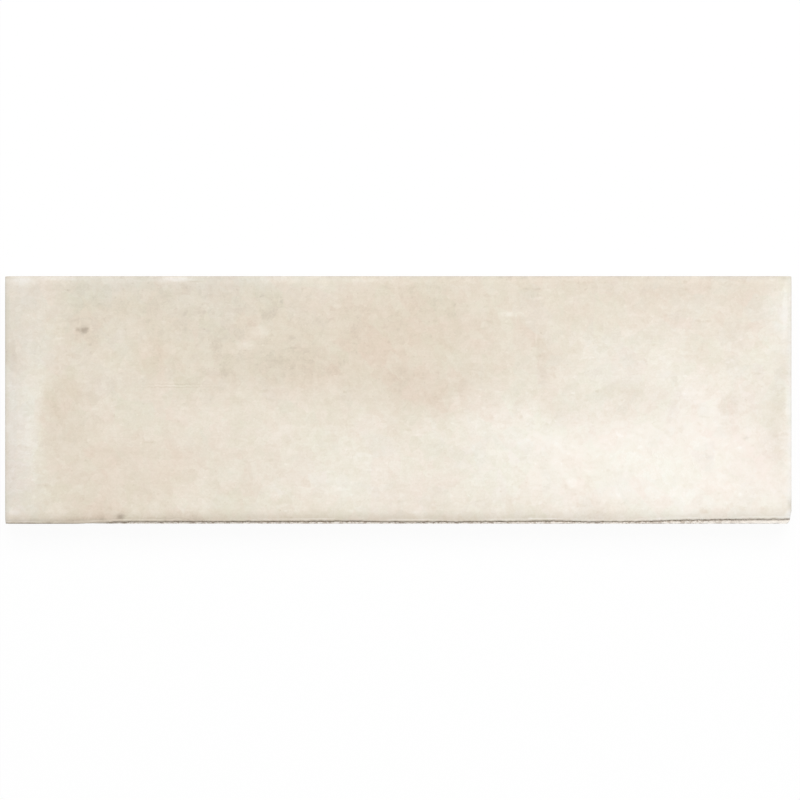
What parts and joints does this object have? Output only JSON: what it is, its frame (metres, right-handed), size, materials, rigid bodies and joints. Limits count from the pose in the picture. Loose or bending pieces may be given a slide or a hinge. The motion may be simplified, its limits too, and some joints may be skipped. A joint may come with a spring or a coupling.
{
  "type": "glazed ceramic wall tile",
  "caption": "Rectangular glazed ceramic wall tile with a softly waved, rolled-edge face, a wavering ledge of bare body along its front and a pocketed back that keys into adhesive.",
  "frame": {"origin": "middle of the back, on the plane that the tile rests on", "axes": "+X along the tile towards its right end in the picture, +Y across it towards its upper edge in the picture, +Z out of the glazed face"},
  "size_m": [0.2, 0.063, 0.009],
  "materials": {
    "glaze": "satin-gloss mottled cream glaze over a pale biscuit body"
  },
  "bodies": {
    "root": {"wall_tile": "glaze"}
  },
  "joints": []
}
